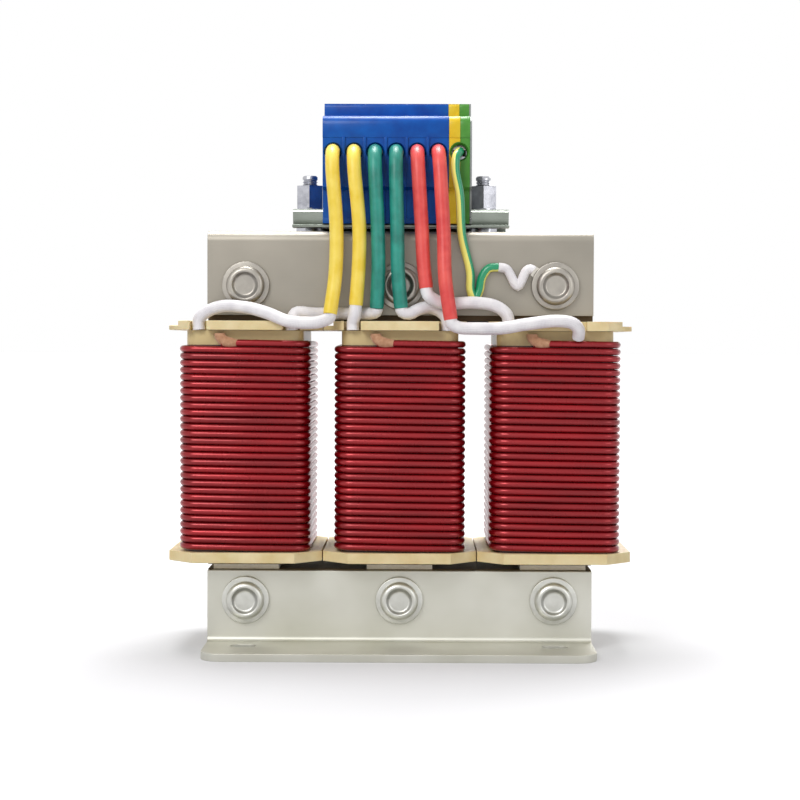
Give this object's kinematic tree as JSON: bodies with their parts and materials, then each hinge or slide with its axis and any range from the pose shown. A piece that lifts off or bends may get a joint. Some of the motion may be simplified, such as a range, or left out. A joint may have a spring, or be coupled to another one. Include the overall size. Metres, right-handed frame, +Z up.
{
  "type": "three-phase iron-core reactor",
  "caption": "Iron-core line reactor with wound coils on cream bobbins, sheet steel feet and channel, and a screw terminal strip on a rail.",
  "frame": {"origin": "centre of the footprint on the mounting plane", "axes": "+Z up, +X along the core to the earth terminal's side, the leads face -Y"},
  "size_m": [0.1794, 0.108, 0.2145],
  "materials": {
    "core_steel": "varnished lamination edges",
    "spacer_white": "off-white insulating board and tube",
    "winding_wrap": "varnished insulation wrap over copper",
    "enamel_red": "red enamelled copper wire",
    "bracket_steel": "zinc plated sheet steel",
    "zinc_hardware": "bright zinc",
    "bobbin_cream": "cream moulded nylon",
    "rail_steel": "zinc plated, weathered",
    "terminal_blue": "blue polyamide",
    "terminal_yellow": "yellow polyamide",
    "terminal_green": "green polyamide",
    "end_plate_grey": "blue polyamide",
    "tinned_copper": "tinned copper",
    "sleeve_yellow": "soft coloured sleeving",
    "sleeve_green": "soft coloured sleeving",
    "sleeve_red": "soft coloured sleeving",
    "sleeve_white": "white braided glass sleeving",
    "earth_insulation": "green and yellow striped insulation"
  },
  "bodies": {
    "frame": {"core_e_stack": "core_steel", "core_yoke_stack": "core_steel", "gap_spacers": "spacer_white", "bobbin_left": "bobbin_cream", "bobbin_middle": "bobbin_cream", "bobbin_right": "bobbin_cream", "inner_windings": "winding_wrap", "outer_winding_left": "enamel_red", "outer_winding_middle": "enamel_red", "outer_winding_right": "enamel_red", "top_channel": "bracket_steel", "front_foot": "bracket_steel", "rear_foot": "bracket_steel", "clamp_bolts": "zinc_hardware", "clamp_washers": "zinc_hardware", "clamp_nuts": "zinc_hardware", "bolt_sleeves": "spacer_white", "din_rail": "rail_steel", "rail_studs": "zinc_hardware", "rail_spacers": "zinc_hardware", "rail_nuts": "zinc_hardware", "phase_terminals": "terminal_blue", "earth_terminal_yellow": "terminal_yellow", "earth_terminal_green": "terminal_green", "end_plate": "end_plate_grey", "current_bars": "tinned_copper", "conductor_ends": "tinned_copper", "yellow_sleeves": "sleeve_yellow", "green_sleeves": "sleeve_green", "red_sleeves": "sleeve_red", "white_sleeves": "sleeve_white", "earth_lead": "earth_insulation"},
    "front_screw_1_body": {"front_screw_1": "zinc_hardware"},
    "front_clamp_1_body": {"front_clamp_1": "zinc_hardware"},
    "front_screw_2_body": {"front_screw_2": "zinc_hardware"},
    "front_clamp_2_body": {"front_clamp_2": "zinc_hardware"},
    "front_screw_3_body": {"front_screw_3": "zinc_hardware"},
    "front_clamp_3_body": {"front_clamp_3": "zinc_hardware"},
    "front_screw_4_body": {"front_screw_4": "zinc_hardware"},
    "front_clamp_4_body": {"front_clamp_4": "zinc_hardware"},
    "front_screw_5_body": {"front_screw_5": "zinc_hardware"},
    "front_clamp_5_body": {"front_clamp_5": "zinc_hardware"},
    "front_screw_6_body": {"front_screw_6": "zinc_hardware"},
    "front_clamp_6_body": {"front_clamp_6": "zinc_hardware"},
    "front_screw_7_body": {"front_screw_7": "zinc_hardware"},
    "front_clamp_7_body": {"front_clamp_7": "zinc_hardware"},
    "rear_screw_1_body": {"rear_screw_1": "zinc_hardware"},
    "rear_clamp_1_body": {"rear_clamp_1": "zinc_hardware"},
    "rear_screw_2_body": {"rear_screw_2": "zinc_hardware"},
    "rear_clamp_2_body": {"rear_clamp_2": "zinc_hardware"},
    "rear_screw_3_body": {"rear_screw_3": "zinc_hardware"},
    "rear_clamp_3_body": {"rear_clamp_3": "zinc_hardware"},
    "rear_screw_4_body": {"rear_screw_4": "zinc_hardware"},
    "rear_clamp_4_body": {"rear_clamp_4": "zinc_hardware"},
    "rear_screw_5_body": {"rear_screw_5": "zinc_hardware"},
    "rear_clamp_5_body": {"rear_clamp_5": "zinc_hardware"},
    "rear_screw_6_body": {"rear_screw_6": "zinc_hardware"},
    "rear_clamp_6_body": {"rear_clamp_6": "zinc_hardware"},
    "rear_screw_7_body": {"rear_screw_7": "zinc_hardware"},
    "rear_clamp_7_body": {"rear_clamp_7": "zinc_hardware"}
  },
  "joints": [
    {"name": "front_screw_1_turn", "type": "hinge", "parent": "frame", "child": "front_screw_1_body", "pos_m": [-0.0264, -0.0125, 0.2045], "axis": [0, 0, 1], "range_deg": [0, 1800]},
    {"name": "front_clamp_1_slide", "type": "slide", "parent": "frame", "child": "front_clamp_1_body", "axis": [0, 0, 1], "range_m": [-0.0035, 0]},
    {"name": "front_screw_2_turn", "type": "hinge", "parent": "frame", "child": "front_screw_2_body", "pos_m": [-0.0182, -0.0125, 0.2045], "axis": [0, 0, 1], "range_deg": [0, 1800]},
    {"name": "front_clamp_2_slide", "type": "slide", "parent": "frame", "child": "front_clamp_2_body", "axis": [0, 0, 1], "range_m": [-0.0035, 0]},
    {"name": "front_screw_3_turn", "type": "hinge", "parent": "frame", "child": "front_screw_3_body", "pos_m": [-0.01, -0.0125, 0.2045], "axis": [0, 0, 1], "range_deg": [0, 1800]},
    {"name": "front_clamp_3_slide", "type": "slide", "parent": "frame", "child": "front_clamp_3_body", "axis": [0, 0, 1], "range_m": [-0.0035, 0]},
    {"name": "front_screw_4_turn", "type": "hinge", "parent": "frame", "child": "front_screw_4_body", "pos_m": [-0.0018, -0.0125, 0.2045], "axis": [0, 0, 1], "range_deg": [0, 1800]},
    {"name": "front_clamp_4_slide", "type": "slide", "parent": "frame", "child": "front_clamp_4_body", "axis": [0, 0, 1], "range_m": [-0.0035, 0]},
    {"name": "front_screw_5_turn", "type": "hinge", "parent": "frame", "child": "front_screw_5_body", "pos_m": [0.0064, -0.0125, 0.2045], "axis": [0, 0, 1], "range_deg": [0, 1800]},
    {"name": "front_clamp_5_slide", "type": "slide", "parent": "frame", "child": "front_clamp_5_body", "axis": [0, 0, 1], "range_m": [-0.0035, 0]},
    {"name": "front_screw_6_turn", "type": "hinge", "parent": "frame", "child": "front_screw_6_body", "pos_m": [0.0146, -0.0125, 0.2045], "axis": [0, 0, 1], "range_deg": [0, 1800]},
    {"name": "front_clamp_6_slide", "type": "slide", "parent": "frame", "child": "front_clamp_6_body", "axis": [0, 0, 1], "range_m": [-0.0035, 0]},
    {"name": "front_screw_7_turn", "type": "hinge", "parent": "frame", "child": "front_screw_7_body", "pos_m": [0.0228, -0.0125, 0.2045], "axis": [0, 0, 1], "range_deg": [0, 1800]},
    {"name": "front_clamp_7_slide", "type": "slide", "parent": "frame", "child": "front_clamp_7_body", "axis": [0, 0, 1], "range_m": [-0.0035, 0]},
    {"name": "rear_screw_1_turn", "type": "hinge", "parent": "frame", "child": "rear_screw_1_body", "pos_m": [-0.0264, 0.0125, 0.2045], "axis": [0, 0, 1], "range_deg": [-1800, 0]},
    {"name": "rear_clamp_1_slide", "type": "slide", "parent": "frame", "child": "rear_clamp_1_body", "axis": [0, 0, 1], "range_m": [0, 0.0035]},
    {"name": "rear_screw_2_turn", "type": "hinge", "parent": "frame", "child": "rear_screw_2_body", "pos_m": [-0.0182, 0.0125, 0.2045], "axis": [0, 0, 1], "range_deg": [-1800, 0]},
    {"name": "rear_clamp_2_slide", "type": "slide", "parent": "frame", "child": "rear_clamp_2_body", "axis": [0, 0, 1], "range_m": [0, 0.0035]},
    {"name": "rear_screw_3_turn", "type": "hinge", "parent": "frame", "child": "rear_screw_3_body", "pos_m": [-0.01, 0.0125, 0.2045], "axis": [0, 0, 1], "range_deg": [-1800, 0]},
    {"name": "rear_clamp_3_slide", "type": "slide", "parent": "frame", "child": "rear_clamp_3_body", "axis": [0, 0, 1], "range_m": [0, 0.0035]},
    {"name": "rear_screw_4_turn", "type": "hinge", "parent": "frame", "child": "rear_screw_4_body", "pos_m": [-0.0018, 0.0125, 0.2045], "axis": [0, 0, 1], "range_deg": [-1800, 0]},
    {"name": "rear_clamp_4_slide", "type": "slide", "parent": "frame", "child": "rear_clamp_4_body", "axis": [0, 0, 1], "range_m": [0, 0.0035]},
    {"name": "rear_screw_5_turn", "type": "hinge", "parent": "frame", "child": "rear_screw_5_body", "pos_m": [0.0064, 0.0125, 0.2045], "axis": [0, 0, 1], "range_deg": [-1800, 0]},
    {"name": "rear_clamp_5_slide", "type": "slide", "parent": "frame", "child": "rear_clamp_5_body", "axis": [0, 0, 1], "range_m": [0, 0.0035]},
    {"name": "rear_screw_6_turn", "type": "hinge", "parent": "frame", "child": "rear_screw_6_body", "pos_m": [0.0146, 0.0125, 0.2045], "axis": [0, 0, 1], "range_deg": [-1800, 0]},
    {"name": "rear_clamp_6_slide", "type": "slide", "parent": "frame", "child": "rear_clamp_6_body", "axis": [0, 0, 1], "range_m": [0, 0.0035]},
    {"name": "rear_screw_7_turn", "type": "hinge", "parent": "frame", "child": "rear_screw_7_body", "pos_m": [0.0228, 0.0125, 0.2045], "axis": [0, 0, 1], "range_deg": [-1800, 0]},
    {"name": "rear_clamp_7_slide", "type": "slide", "parent": "frame", "child": "rear_clamp_7_body", "axis": [0, 0, 1], "range_m": [0, 0.0035]}
  ],
  "couplings": [
    {"joint": "front_screw_1_turn", "follows": "front_clamp_1_slide", "rad_per_m": -8976},
    {"joint": "front_screw_2_turn", "follows": "front_clamp_2_slide", "rad_per_m": -8976},
    {"joint": "front_screw_3_turn", "follows": "front_clamp_3_slide", "rad_per_m": -8976},
    {"joint": "front_screw_4_turn", "follows": "front_clamp_4_slide", "rad_per_m": -8976},
    {"joint": "front_screw_5_turn", "follows": "front_clamp_5_slide", "rad_per_m": -8976},
    {"joint": "front_screw_6_turn", "follows": "front_clamp_6_slide", "rad_per_m": -8976},
    {"joint": "front_screw_7_turn", "follows": "front_clamp_7_slide", "rad_per_m": -8976},
    {"joint": "rear_screw_1_turn", "follows": "rear_clamp_1_slide", "rad_per_m": -8976},
    {"joint": "rear_screw_2_turn", "follows": "rear_clamp_2_slide", "rad_per_m": -8976},
    {"joint": "rear_screw_3_turn", "follows": "rear_clamp_3_slide", "rad_per_m": -8976},
    {"joint": "rear_screw_4_turn", "follows": "rear_clamp_4_slide", "rad_per_m": -8976},
    {"joint": "rear_screw_5_turn", "follows": "rear_clamp_5_slide", "rad_per_m": -8976},
    {"joint": "rear_screw_6_turn", "follows": "rear_clamp_6_slide", "rad_per_m": -8976},
    {"joint": "rear_screw_7_turn", "follows": "rear_clamp_7_slide", "rad_per_m": -8976}
  ]
}
